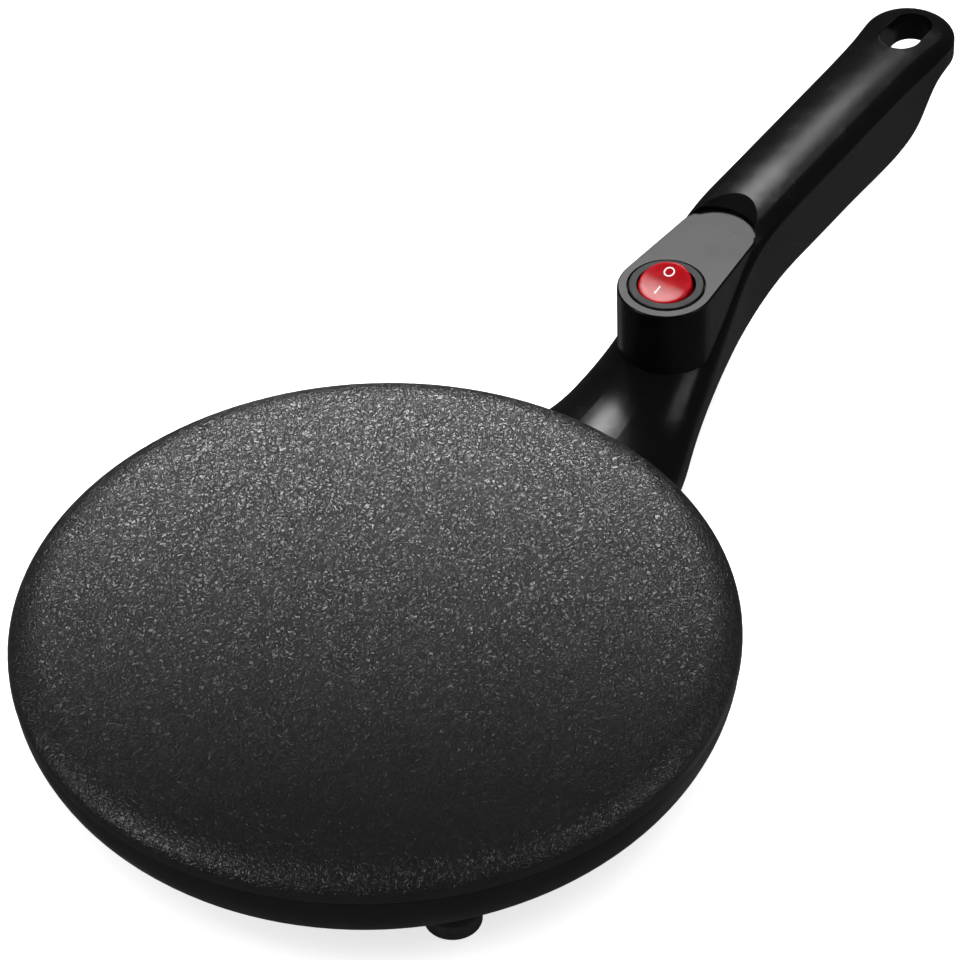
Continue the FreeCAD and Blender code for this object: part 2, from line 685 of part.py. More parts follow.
def handle_bottom_shell(outer, cavity, block, clearance):
    shell = outer.cut(cavity).common(block)
    turret = Part.makeCone(TURRET_TIP_R, TURRET_R, -12.0 - TURRET_FOOT, V(GLAND_X, 0, at_seam(TURRET_FOOT)))
    shell = shell.fuse(turret)
    for x in HANDLE_SCREW_X:
        post = cylinder(HEAD_R + 1.9, V(x, 0, at_seam(-9.0)), 9.0 + 2.9)
        shell = shell.fuse(post.common(outer))
    for point in clamp_posts():
        post = cylinder(SCREW_R + 1.4, lifted(point, at_seam(-9.5)), 9.5 + CLAMP_Z)
        shell = shell.fuse(post.common(outer))
    shell = shell.cut(clearance)
    for x in HANDLE_SCREW_X:
        seat = screw_seat_z(x)
        shell = shell.cut(cylinder(HEAD_R + 0.4, V(x, 0, seat - 15), 15))
        shell = shell.cut(cylinder(SCREW_R + PASS_GAP, V(x, 0, seat - 15), 30))
    for point in clamp_posts():
        shell = shell.cut(cylinder(SCREW_R - 0.5 + PILOT_GAP, lifted(point, at_seam(CLAMP_Z - 6)), 20))
    shell = shell.cut(cylinder(GLAND_R + SEAT_GAP, V(GLAND_X, 0, at_seam(-40)), 50))
    return shell.removeSplitter()


def handle_screws():
    return group([screw(V(x, 0, screw_seat_z(x)), AXIS_Z, 12.0) for x in HANDLE_SCREW_X])


def neck_screws():
    seats = [V(PAN_PAD_X, side * NECK_SCREW_Y, at_seam(NECK_SCREW_Z)) for side in (-1, 1)]
    return group([screw(seat, AXIS_X, 20.0) for seat in seats])


def cord_gland():
    """Rubber bush through the turret, with a lip inside the shell."""
    inside = -9.0
    bush = cylinder(GLAND_R, V(GLAND_X, 0, at_seam(GLAND_FOOT)), inside - GLAND_FOOT)
    rim = [e for e in bush.Edges if abs(e.CenterOfMass.z - at_seam(GLAND_FOOT)) < 0.01]
    bush = bush.makeFillet(0.8, rim)
    collar = cylinder(GLAND_R + 1.2, V(GLAND_X, 0, at_seam(TURRET_FOOT - 1.6)), 1.55)
    bush = bush.fuse(collar)
    return bush.cut(cylinder(GLAND_BORE_R, V(GLAND_X, 0, at_seam(GLAND_FOOT - 1)), 30)).removeSplitter()


def cord_clamp():
    low = at_seam(CLAMP_Z) + SEAT_GAP
    half = CLAMP_Y + SCREW_R + 1.4
    bar = box((CLAMP_X - CLAMP_W / 2, CLAMP_X + CLAMP_W / 2), (-half, half), (low, low + CLAMP_T))
    arch = cylinder(2.6, V(CLAMP_X - CLAMP_W, 0, low - 1.2), 2 * CLAMP_W, AXIS_X)
    bar = bar.cut(arch)
    for point in clamp_posts():
        bar = bar.cut(cylinder(SCREW_R - 0.5 + PASS_GAP, lifted(point, low - 3), 10))
    return bar


def clamp_screws():
    seat = at_seam(CLAMP_Z) + SEAT_GAP + CLAMP_T
    down = V(0, 0, -1)
    length = CLAMP_T + 5.0
    return group([screw(lifted(p, seat), down, length, SCREW_R - 0.5, 2.0, 1.4) for p in clamp_posts()])


def bezel_top():
    return at_seam(TOWER_TOP) - BEZEL_RECESS + BEZEL_T


def pivot_point():
    return V(TOWER_X, 0, bezel_top() - ROCKER_PIVOT_DEPTH)


def blade_top_z():
    """Top of the level contact blade, a gap below the plunger's tip."""
    return pivot_point().z - PLUNGER_FOOT - BLADE_GAP


def blade_pivot():
    return V(TOWER_X, 0, blade_top_z() - BLADE_T - BLADE_PIN_R)


def housing_foot():
    return bezel_top() - BARREL_DEPTH


def terminal_slots(grow=0.0):
    """The three blades that pass through the housing's floor."""
    foot = bezel_top() - TERMINAL_FOOT
    floor = housing_foot() + BARREL_FLOOR
    blades = []
    reach = BLADE_HALF + 0.2
    for dx in (-reach, 0.0, reach):
        x = TOWER_X + dx
        blades.append(box((x - TERMINAL_T / 2 - grow, x + TERMINAL_T / 2 + grow),
                          (-TERMINAL_W / 2 - grow, TERMINAL_W / 2 + grow), (foot, floor)))
    return blades


def switch_housing():
    """Bezel and barrel in one moulding, with pivot holes and a slotted floor."""
    top = bezel_top()
    opening = ROCKER_R + ROCKER_SIDE_GAP
    bezel = cylinder(BEZEL_R, V(TOWER_X, 0, top - BEZEL_T), BEZEL_T)
    rim = [e for e in bezel.Edges if abs(e.CenterOfMass.z - top) < 0.01]
    bezel = bezel.makeFillet(0.6, rim)
    body = bezel.fuse(cylinder(BARREL_R, V(TOWER_X, 0, housing_foot()), BARREL_DEPTH - 0.5))
    floor = housing_foot() + BARREL_FLOOR
    body = body.cut(cylinder(opening, V(TOWER_X, 0, floor), BARREL_DEPTH + 5))
    pin = pivot_point()
    across = V(TOWER_X, -BARREL_R - 1, pin.z)
    hole = cylinder(ROCKER_PIN_R + ROCKER_PIN_GAP, across, 2 * BARREL_R + 2, AXIS_Y)
    body = body.cut(hole)
    for blade in terminal_slots(SEAT_GAP):
        body = body.cut(blade)
    return body.removeSplitter()


def at_rest(shape, pivot, degrees):
    """Turn a piece drawn level to its place at rest."""
    placed = shape.copy()
    placed.rotate(pivot, AXIS_Y, degrees)
    return placed


def rocker_hollow_r():
    return ROCKER_R - ROCKER_SIDE_WALL


def switch_rocker():
    """Rocker with two sloping faces, a hollow underside, a stem for the plunger and pivot pins."""
    pivot = pivot_point()
    x, z = pivot.x, pivot.z
    body = cylinder(ROCKER_R, V(x, 0, z - ROCKER_SKIRT), ROCKER_SKIRT + ROCKER_TOP - ROCKER_EDGE)
    shoulder = V(x, 0, z + ROCKER_TOP - ROCKER_EDGE)
    edge = Part.makeCone(ROCKER_R, ROCKER_R - ROCKER_EDGE, ROCKER_EDGE, shoulder)
    dish = cylinder(ROCKER_DISH_R, V(x, -15, z + ROCKER_TOP - ROCKER_DISH + ROCKER_DISH_R), 30, AXIS_Y)
    body = body.fuse(edge).cut(dish)
    hollow_h = ROCKER_SKIRT + 1 + ROCKER_TOP - 0.6 - ROCKER_ROOF
    hollow = cylinder(rocker_hollow_r(), V(x, 0, z - ROCKER_SKIRT - 1), hollow_h)
    hollow = hollow.cut(box((x - ROCKER_RIB_HALF, x + ROCKER_RIB_HALF), (-15, 15), (z - 10, z + 10)))
    body = body.cut(hollow)
    body = body.fuse(cylinder(STEM_R, V(x, 0, z - STEM_FOOT), STEM_FOOT))
    pin = cylinder(ROCKER_PIN_R, V(x, -BARREL_R + 0.4, z), 2 * BARREL_R - 0.8, AXIS_Y)
    body = body.fuse(pin)
    body = body.cut(cylinder(PLUNGER_R + SEAT_GAP, V(x, 0, z - STEM_FOOT - 1), STEM_FOOT - 1.0))
    return at_rest(body.removeSplitter(), pivot, -ROCKER_HALF_THROW)


def indicator_lamp():
    """Neon lamp lying across the rocker's hollow."""
    pivot = pivot_point()
    offset = ROCKER_RIB_HALF + LAMP_RIB_GAP + LAMP_R
    reach = math.sqrt(rocker_hollow_r() ** 2 - (offset + LAMP_R) ** 2) - LAMP_END_GAP
    bulb = cylinder(LAMP_R, V(pivot.x + offset, -reach, pivot.z - 0.3), 2 * reach, AXIS_Y)
    return at_rest(bulb, pivot, -ROCKER_HALF_THROW)


def switch_plunger():
    pivot = pivot_point()
    x, z = pivot.x, pivot.z
    rod = cylinder(PLUNGER_R, V(x, 0, z - PLUNGER_FOOT + PLUNGER_R), PLUNGER_FOOT - PLUNGER_R - 4.2)
    tip = Part.makeSphere(PLUNGER_R, V(x, 0, z - PLUNGER_FOOT + PLUNGER_R))
    return at_rest(rod.fuse(tip).removeSplitter(), pivot, -ROCKER_HALF_THROW)


def plunger_spring():
    """Spring behind the plunger, as its outer sleeve."""
    pivot = pivot_point()
    x, z = pivot.x, pivot.z
    sleeve = cylinder(PLUNGER_R - 0.05, V(x, 0, z - 4.15), 2.0)
    sleeve = sleeve.cut(cylinder(PLUNGER_R - 0.45, V(x, 0, z - 5), 4.0))
    return at_rest(sleeve, pivot, -ROCKER_HALF_THROW)


def contact_blade():
    """Seesaw blade with a rounded fulcrum and a contact under one end."""
    pivot = blade_pivot()
    top = blade_top_z()
    x = TOWER_X
    blade = box((x - BLADE_HALF, x + BLADE_HALF), (-BLADE_W / 2, BLADE_W / 2), (top - BLADE_T, top))
    knuckle = cylinder(BLADE_PIN_R, V(x, -BLADE_W / 2, pivot.z), BLADE_W, AXIS_Y)
    web = box((x - 0.4, x + 0.4), (-BLADE_W / 2, BLADE_W / 2), (pivot.z, top - BLADE_T / 2))
    contact = cylinder(1.0, V(x + BLADE_HALF - 1.3, 0, top - BLADE_T - 0.5), 0.7)
    blade = blade.fuse([knuckle, web, contact]).removeSplitter()
    return at_rest(blade, pivot, BLADE_HALF_THROW)


def switch_terminals():
    """Common blade with a cradle, contact blade and lamp blade."""
    floor = housing_foot() + BARREL_FLOOR
    pivot = blade_pivot()
    lamp, common, live = terminal_slots()
    cradle_top = pivot.z - 0.1
    cradle = box((TOWER_X - 1.6, TOWER_X + 1.6), (-BLADE_W / 2, BLADE_W / 2), (floor, cradle_top))
    notch = cylinder(BLADE_PIN_R + SEAT_GAP, V(TOWER_X, -5, pivot.z), 10, AXIS_Y)
    common = common.fuse(cradle.cut(notch)).removeSplitter()
    live_pad = cylinder(1.2, V(TOWER_X + BLADE_HALF - 1.3, 0, floor), 0.2)
    foot_pad = box((TOWER_X + BLADE_HALF - 2.5, TOWER_X + 7.0), (-1.2, 1.2), (floor, floor + 0.2))
    live = live.fuse([live_pad, foot_pad]).removeSplitter()
    return group([lamp, common, live])


def export(name, shape):
    shape.exportStep("parts/" + name + ".step")
    print(name, len(shape.Solids), "volume", round(shape.Volume, 1), "valid", shape.isValid())


def main():
    os.makedirs("parts", exist_ok=True)
    outer = handle_body().fuse(tower()).cut(scoop())
    cavity = handle_cavity()
    block = parting_block()
    clearance = pan_clearance()
    pieces = {
        "cooking_plate": cooking_plate(),
        "heating_element": heating_element(),
        "element_terminals": element_terminals(),
        "element_clips": element_clips(),
        "clip_screws": clip_screws(),
        "thermostat": thermostat(),
        "thermostat_bracket": thermostat_bracket(),
        "bracket_screws": bracket_screws(),
        "thermal_fuse": thermal_fuse(),
        "fuse_clamp": fuse_clamp(),
        "fuse_screw": fuse_screw_solid(),
        "heat_shield": heat_shield(),
        "shield_screws": shield_screws(),
        "base_pan": base_pan(),
        "body_screws": body_screws(),
        "rubber_feet": rubber_feet(),
        "handle_top_shell": handle_top_shell(outer, cavity, block, clearance),
        "handle_bottom_shell": handle_bottom_shell(outer, cavity, block, clearance),
        "handle_screws": handle_screws(),
        "neck_screws": neck_screws(),
        "cord_gland": cord_gland(),
        "cord_clamp": cord_clamp(),
        "clamp_screws": clamp_screws(),
        "switch_housing": switch_housing(),
        "switch_rocker": switch_rocker(),
        "indicator_lamp": indicator_lamp(),
        "switch_plunger": switch_plunger(),
        "plunger_spring": plunger_spring(),
        "contact_blade": contact_blade(),
        "switch_terminals": switch_terminals(),
    }
    for name, shape in pieces.items():
        export(name, shape)


main()
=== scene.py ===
"""Looks of the electric crepe maker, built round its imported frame.  Lengths are in metres."""
import json
import math

import bmesh
import bpy
from mathutils import Matrix, Vector
from mathutils.kdtree import KDTree

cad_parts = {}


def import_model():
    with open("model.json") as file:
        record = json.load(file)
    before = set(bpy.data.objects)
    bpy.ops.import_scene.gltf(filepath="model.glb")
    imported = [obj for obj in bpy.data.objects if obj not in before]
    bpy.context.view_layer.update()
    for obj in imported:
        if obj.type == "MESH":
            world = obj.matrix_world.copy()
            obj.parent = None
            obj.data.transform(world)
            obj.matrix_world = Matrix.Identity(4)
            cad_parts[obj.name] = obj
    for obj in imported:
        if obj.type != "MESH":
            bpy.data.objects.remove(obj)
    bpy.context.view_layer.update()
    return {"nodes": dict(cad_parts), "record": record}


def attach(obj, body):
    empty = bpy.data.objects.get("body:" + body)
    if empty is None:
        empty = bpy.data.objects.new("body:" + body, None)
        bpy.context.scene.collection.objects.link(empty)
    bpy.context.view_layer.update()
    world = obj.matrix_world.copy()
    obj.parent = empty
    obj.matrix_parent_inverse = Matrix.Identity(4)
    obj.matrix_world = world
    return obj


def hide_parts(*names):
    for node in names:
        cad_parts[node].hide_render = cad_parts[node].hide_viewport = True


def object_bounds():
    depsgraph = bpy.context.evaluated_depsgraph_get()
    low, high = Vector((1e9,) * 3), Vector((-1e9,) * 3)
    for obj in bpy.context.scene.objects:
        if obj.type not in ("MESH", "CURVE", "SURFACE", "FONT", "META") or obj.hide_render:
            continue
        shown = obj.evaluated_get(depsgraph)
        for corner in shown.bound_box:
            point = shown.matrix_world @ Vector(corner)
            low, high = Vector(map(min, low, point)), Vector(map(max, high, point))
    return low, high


MM = 0.001

# Camera: turn of the handle in the picture, tilt, roll and where the rim's centre lies before the lens
LENS_MM = 187.5
SENSOR_MM = 36.0
HANDLE_TURN = math.radians(55.04)
CAMERA_TILT = math.radians(42.325)
CAMERA_ROLL = math.radians(-1.977)
RIM_FROM_LENS = Vector((-0.0294, 0.0435, 1.4026))
RIM_HEIGHT = -8.0 * MM

# Plate: the grain fades out between these heights on the rim
GRAIN_FADE_LOW = -6.4 * MM
GRAIN_FADE_HIGH = -4.4 * MM

# Switch tower: its flat top, how far out its outer rim lies, and the roll of its edge
TOWER_TOP_Z = 10.25 * MM
TOWER_X = 153.7 * MM
TOWER_RIM_FROM = 12.6 * MM
TOWER_EDGE = 0.9 * MM
EDGE_STEPS = 4
SAME_LEVEL = 0.01 * MM
SAME_POINT = 0.001 * MM
FLAT_ANGLE = 0.01
RIM_ANGLE = 1.0
SHARP = math.radians(35)
NEAR_CORNERS = 5
SAME_FACING = 0.94

# Rocker, drawn level about its pivot and then tipped to rest
PIVOT = Vector((153.7, 0.0, 7.95)) * MM
ROCKER_TILT = math.radians(-13.0)
ROCKER_RADIUS = 8.2 * MM
ROCKER_DRAFT = 0.12 * MM
ROCKER_EDGE = 0.6 * MM
ROCKER_FOOT = -1.6 * MM
ROCKER_TURNS = 96
FACE_RINGS = (0.25, 0.5, 0.75, 0.9, 1.0)
DISH_LOW = 3.75 * MM
DISH_RADIUS = 42.0 * MM
MARK_HEIGHT = 0.04 * MM
OFF_MARK = Vector((4.2, 0.9)) * MM
ON_MARK = Vector((-3.2, 0.6)) * MM
OFF_MARK_RADIUS = 1.7 * MM
MARK_STROKE = 0.42 * MM
OFF_MARK_STEPS = 48
ON_MARK_LENGTH = 3.2 * MM
ON_MARK_STEPS = 8

# Studio: floor, lights as (name, place, aim, size, watts), and the back light's spread.  Places and aims
# are how far right, away and up they lie, seen by the camera, from the plate's centre.
FLOOR_HALF = 4.0
FLOOR_GAP = 0.05 * MM
FLOOR_GLOW = 0.75
WORLD_STRENGTH = 0.055
BACK_LIGHT_SPREAD = math.radians(34)
MIDDLE = (0, 0, 0)
HANDLE_AIM = Vector((0.16, 0, 0))
SOFT_BOXES = [
    ("overhead", (0, 0, 1.6), MIDDLE, (2.2, 2.2), 34),
    ("behind", (0, 0.34, 0.24), (0, 0.158, 0), (0.5, 0.16), 0.2),
    ("left", (-0.75, -0.2, 0.55), MIDDLE, (0.25, 0.5), 1.5),
    ("right", (0.85, -0.15, 0.6), MIDDLE, (0.2, 0.5), 1.0),
    ("low_right", (0.8, 0.5, -0.72), None, (0.5, 0.8), 0.12),
    ("low_left", (-0.4, 0.72, -0.72), None, (0.3, 0.8), 0.12),
]


def camera_axes():
    """Right, down and forward of the camera, in the object's frame."""
    across = Vector((math.cos(HANDLE_TURN), -math.sin(HANDLE_TURN), 0))
    away = Vector((math.sin(HANDLE_TURN), math.cos(HANDLE_TURN), 0))
    up = Vector((0, 0, 1))
    down = -math.sin(CAMERA_TILT) * away - math.cos(CAMERA_TILT) * up
    forward = math.cos(CAMERA_TILT) * away - math.sin(CAMERA_TILT) * up
    turn_cos, turn_sin = math.cos(CAMERA_ROLL), math.sin(CAMERA_ROLL)
    return turn_cos * across - turn_sin * down, turn_sin * across + turn_cos * down, forward


def make_camera():
    """Camera at the photograph's angle and distance."""
    right, down, forward = camera_axes()
    place = Vector((0, 0, RIM_HEIGHT))
    for axis, amount in zip((right, down, forward), RIM_FROM_LENS):
        place -= axis * amount
    data = bpy.data.cameras.new("camera")
    data.lens = LENS_MM
    data.sensor_width = SENSOR_MM
    data.clip_start = 0.05
    data.clip_end = 50.0
    camera = bpy.data.objects.new("camera", data)
    bpy.context.scene.collection.objects.link(camera)
    turned = Matrix((right, -down, -forward)).transposed().to_4x4()
    camera.matrix_world = Matrix.Translation(place) @ turned
    bpy.context.scene.camera = camera


def studio_place(right, away, up):
    """A point from how far right, away and up it lies, seen by the camera, from the plate's centre."""
    across = Vector((math.cos(HANDLE_TURN), -math.sin(HANDLE_TURN), 0))
    behind = Vector((math.sin(HANDLE_TURN), math.cos(HANDLE_TURN), 0))
    return across * right + behind * away + Vector((0, 0, up))


def soft_box(name, place, aim, size, watts):
    """A rectangular area light turned toward a point."""
    data = bpy.data.lights.new(name, "AREA")
    data.shape = "RECTANGLE"
    data.size, data.size_y = size
    data.energy = watts
    light = bpy.data.objects.new(name, data)
    bpy.context.scene.collection.objects.link(light)
    light.location = place
    light.rotation_mode = "QUATERNION"
    light.rotation_quaternion = (aim - place).to_track_quat("-Z", "Y")
    return light


class Surface:
    """A principled material whose colour, gloss and grain come from procedural noise."""

    def __init__(self, name, colour, roughness, metallic=0.0):
        self.material = bpy.data.materials.new(name)
        self.material.use_nodes = True
        self.tree = self.material.node_tree
        self.shader = self.tree.nodes["Principled BSDF"]
        self.shader.inputs["Base Color"].default_value = (*colour, 1)
        self.shader.inputs["Roughness"].default_value = roughness
        self.shader.inputs["Metallic"].default_value = metallic
        self.colour = colour
        self.coords = self.node("ShaderNodeTexCoord").outputs["Object"]
        self.normal = None

    def node(self, kind, **values):
        """A new node with its settings."""
        made = self.tree.nodes.new(kind)
        for name, value in values.items():
            setattr(made, name, value)
        return made

    def link(self, source, target):
        self.tree.links.new(source, target)

    def noise(self, pitch, detail=3.0, roughness=0.5, distortion=0.0, stretch=(1, 1, 1)):
        """Noise whose features are about pitch across."""
        scaled = self.node("ShaderNodeMapping")
        scaled.inputs["Scale"].default_value = [s / pitch for s in stretch]
        self.link(self.coords, scaled.inputs["Vector"])
        made = self.node("ShaderNodeTexNoise")
        made.inputs["Scale"].default_value = 1.0
        made.inputs["Detail"].default_value = detail
        made.inputs["Roughness"].default_value = roughness
        made.inputs["Distortion"].default_value = distortion
        self.link(scaled.outputs["Vector"], made.inputs["Vector"])
        return made.outputs["Fac"]

    def span(self, source, low, high, from_low=0.3, from_high=0.7):
        made = self.node("ShaderNodeMapRange")
        made.inputs["From Min"].default_value = from_low
        made.inputs["From Max"].default_value = from_high
        made.inputs["To Min"].default_value = low
        made.inputs["To Max"].default_value = high
        self.link(source, made.inputs["Value"])
        return made.outputs["Result"]

    def maths(self, operation, first, second):
        made = self.node("ShaderNodeMath", operation=operation)
        for socket, value in zip(made.inputs, (first, second)):
            if isinstance(value, (int, float)):
                socket.default_value = value
            else:
                self.link(value, socket)
        return made.outputs["Value"]

    def mottle(self, pitch, spread, detail=4.0):
        """Vary the colour's lightness by a share either way."""
        mix = self.node("ShaderNodeMix", data_type="RGBA")
        mix.inputs["A"].default_value = [*(c * (1 - spread) for c in self.colour), 1]
        mix.inputs["B"].default_value = [*(c * (1 + spread) for c in self.colour), 1]
        self.link(self.span(self.noise(pitch, detail), 0, 1), mix.inputs["Factor"])
        self.link(mix.outputs["Result"], self.shader.inputs["Base Color"])
        return self

    def gloss(self, pitch, low, high):
        """Vary the roughness between two values."""
        self.link(self.span(self.noise(pitch), low, high), self.shader.inputs["Roughness"])
        return self

    def bump(self, height, depth):
        """Add relief: a height from 0 to 1, times a depth in metres."""
        made = self.node("ShaderNodeBump")
        made.inputs["Strength"].default_value = 1.0
        made.inputs["Distance"].default_value = depth
        self.link(height, made.inputs["Height"])
        if self.normal is not None:
            self.link(self.normal, made.inputs["Normal"])
        self.normal = made.outputs["Normal"]
        self.link(self.normal, self.shader.inputs["Normal"])
        return self

    def grain(self, pitch, depth, detail=2.0, distortion=0.0, stretch=(1, 1, 1)):
        """Add relief from noise."""
        return self.bump(self.noise(pitch, detail, 0.5, distortion, stretch), depth)

    def height(self):
        """Height above the cooking surface at each point."""
        split = self.node("ShaderNodeSeparateXYZ")
        self.link(self.coords, split.inputs["Vector"])
        return split.outputs["Z"]

    def set(self, **values):
        """Set the shader's own sockets, named with an underscore for each space."""
        for name, value in values.items():
            self.shader.inputs[name.replace("_", " ")].default_value = value
        return self


def nonstick():
    """Coated cast plate: wrinkled leather grain on top, fading out down the rim."""
    made = Surface("nonstick", (0.004, 0.004, 0.0042), 0.4)
    mask = made.span(made.height(), 0.0, 1.0, GRAIN_FADE_LOW, GRAIN_FADE_HIGH)
    folds = made.noise(1.45 * MM, 1.5, 0.5, 0.9)
    ridges = made.maths("ABSOLUTE", made.maths("SUBTRACT", folds, 0.5), 0)
    worms = made.span(ridges, 1.0, 0.0, 0.0, 0.16)
    cells = made.noise(0.8 * MM, 1.0, 0.5, 0.3)
    relief = made.maths("ADD", made.maths("MULTIPLY", worms, 0.65), made.maths("MULTIPLY", cells, 0.55))
    made.bump(made.maths("MULTIPLY", relief, mask), 0.24 * MM)
    made.grain(0.35 * MM, 0.006 * MM)
    made.mottle(11 * MM, 0.18)
    rough = made.span(mask, 0.3, 0.34, 0.0, 1.0)
    varied = made.maths("ADD", rough, made.span(made.noise(7 * MM), -0.03, 0.03))
    made.link(varied, made.shader.inputs["Roughness"])
    return made.set(IOR=1.95).material


def pan_plastic():
    """Satin heat-resistant moulding."""
    made = Surface("pan_plastic", (0.004, 0.004, 0.0042), 0.36)
    made.grain(0.5 * MM, 0.008 * MM).grain(22 * MM, 0.05 * MM, 1.0)
    return made.mottle(16 * MM, 0.15).gloss(9 * MM, 0.32, 0.42).material


def handle_plastic():
    """Polished black moulding with the slight waviness of a thick wall."""
    made = Surface("handle_plastic", (0.0026, 0.0026, 0.0028), 0.24)
    made.grain(14 * MM, 0.02 * MM, 1.0).grain(0.3 * MM, 0.0035 * MM)
    made.mottle(20 * MM, 0.15).gloss(6 * MM, 0.21, 0.28)
    return made.set(IOR=1.31).material


def switch_plastic():
    made = Surface("switch_plastic", (0.005, 0.005, 0.0052), 0.33)
    made.grain(0.25 * MM, 0.004 * MM)
    made.mottle(5 * MM, 0.15).gloss(3 * MM, 0.32, 0.42)
    return made.set(IOR=1.25).material


def rocker_red():
    """Clear red moulding with a soft glow inside its walls."""
    made = Surface("rocker_red", (0.33, 0.004, 0.008), 0.2)
    made.grain(2.4 * MM, 0.012 * MM, 1.0)
    made.mottle(2.2 * MM, 0.16).gloss(1.5 * MM, 0.13, 0.2)
    made.set(Subsurface_Weight=0.35, Subsurface_Scale=2.5 * MM, Coat_Weight=0.05)
    made.set(Coat_Roughness=0.08, IOR=1.22)
    made.shader.inputs["Subsurface Radius"].default_value = (1.0, 0.12, 0.08)
    return made.material


def mark_ink():
    made = Surface("mark_ink", (0.86, 0.84, 0.82), 0.45)
    made.grain(0.2 * MM, 0.002 * MM)
    return made.mottle(0.8 * MM, 0.06).material


def foot_rubber():
    made = Surface("foot_rubber", (0.012, 0.012, 0.012), 0.72)
    made.grain(0.4 * MM, 0.012 * MM)
    return made.mottle(3 * MM, 0.25).gloss(2 * MM, 0.66, 0.8).material


def sheet_steel():
    """Pressed sheet with rolling lines."""
    made = Surface("sheet_steel", (0.56, 0.56, 0.57), 0.34, 1.0)
    made.grain(0.3 * MM, 0.004 * MM, 2.0, 0.0, (0.05, 1, 1))
    return made.mottle(6 * MM, 0.1).gloss(2 * MM, 0.28, 0.42).material


def element_steel():
    made = Surface("element_steel", (0.34, 0.31, 0.28), 0.4, 1.0)
    made.grain(0.5 * MM, 0.006 * MM)
    return made.mottle(9 * MM, 0.35).gloss(4 * MM, 0.34, 0.5).material


def screw_steel():
    made = Surface("screw_steel", (0.62, 0.62, 0.64), 0.26, 1.0)
    made.grain(0.25 * MM, 0.004 * MM)
    return made.mottle(1.5 * MM, 0.12).gloss(1 * MM, 0.2, 0.34).material


def brass():
    made = Surface("brass", (0.72, 0.52, 0.2), 0.3, 1.0)
    made.grain(0.2 * MM, 0.003 * MM)
    return made.mottle(2 * MM, 0.15).gloss(1 * MM, 0.24, 0.38).material


def ceramic():
    made = Surface("ceramic", (0.78, 0.75, 0.69), 0.6)
    made.grain(0.3 * MM, 0.01 * MM)
    return made.mottle(3 * MM, 0.08).material


def sleeve():
    """Glass-fibre sleeving, with its weave round the tube."""
    made = Surface("sleeve", (0.7, 0.67, 0.58), 0.8)
    made.grain(0.5 * MM, 0.05 * MM, 1.0, 0.0, (1, 1.6, 1))
    return made.mottle(2 * MM, 0.12).material


def lamp_glass():
    made = Surface("lamp_glass", (0.95, 0.5, 0.3), 0.08)
    made.grain(1.5 * MM, 0.01 * MM)
    made.set(Transmission_Weight=0.7, IOR=1.47)
    return made.mottle(1.5 * MM, 0.05).material


MATERIALS = {
    "nonstick_plate": nonstick, "pan_plastic": pan_plastic, "handle_plastic": handle_plastic,
    "switch_plastic": switch_plastic, "rocker_red": rocker_red, "foot_rubber": foot_rubber,
    "element_steel": element_steel, "sheet_steel": sheet_steel, "screw_steel": screw_steel,
    "ceramic": ceramic, "brass": brass, "sleeve": sleeve, "lamp_glass": lamp_glass,
}


def dress(frame):
    """Give every CAD node the material of its slot."""
    made = {slot: build() for slot, build in MATERIALS.items()}
    for part in frame["record"]["subparts"]:
        node = frame["nodes"][part["node"]]
        node.data.materials.clear()
        node.data.materials.append(made[part["material_slot"]])
    return made


def dish_height(x):
    """Height of the level rocker's dished face over its pivot."""
    return DISH_LOW + DISH_RADIUS - math.sqrt(DISH_RADIUS ** 2 - x ** 2)


def new_piece(name, mesh, material, body):
    """Turn a finished bmesh into a piece that rides on a body."""
    bmesh.ops.recalc_face_normals(mesh, faces=mesh.faces)
    data = bpy.data.meshes.new(name)
    mesh.to_mesh(data)
    mesh.free()
    data.materials.append(material)
    data.shade_smooth()
    data.set_sharp_from_angle(angle=SHARP)
    piece = bpy.data.objects.new(name, data)
    bpy.context.scene.collection.objects.link(piece)
    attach(piece, body)
    return piece


def tip_to_rest(mesh):
    """Move a mesh drawn level about the pivot to the rocker's place at rest."""
    place = Matrix.Translation(PIVOT) @ Matrix.Rotation(ROCKER_TILT, 4, "Y")
    bmesh.ops.transform(mesh, matrix=place, verts=mesh.verts)


def rocker_cap(material):
    """Rocker with a dished face, a rolled edge all round and slightly drafted walls."""
    mesh = bmesh.new()
    face_radius = ROCKER_RADIUS - ROCKER_DRAFT - ROCKER_EDGE
    rings = [(face_radius * share, 0.0) for share in FACE_RINGS]
    for step in range(1, EDGE_STEPS + 1):
        angle = math.pi / 2 * step / EDGE_STEPS
        rings.append((face_radius + ROCKER_EDGE * math.sin(angle), ROCKER_EDGE * (1 - math.cos(angle))))
    centre = mesh.verts.new((0, 0, dish_height(0)))
    previous = None
    for radius, drop in rings + [(ROCKER_RADIUS, None)]:
        ring = []
        for turn in range(ROCKER_TURNS):
            angle = 2 * math.pi * turn / ROCKER_TURNS
            x, y = radius * math.cos(angle), radius * math.sin(angle)
            z = ROCKER_FOOT if drop is None else dish_height(x * min(1, face_radius / radius)) - drop
            ring.append(mesh.verts.new((x, y, z)))
        for turn in range(ROCKER_TURNS):
            follow = (turn + 1) % ROCKER_TURNS
            if previous is None:
                mesh.faces.new((centre, ring[turn], ring[follow]))
            else:
                mesh.faces.new((previous[turn], ring[turn], ring[follow], previous[follow]))
        previous = ring
    mesh.faces.new(reversed(previous))
    tip_to_rest(mesh)
    piece = new_piece("rocker_cap", mesh, material, "rocker")
    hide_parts("switch_rocker")


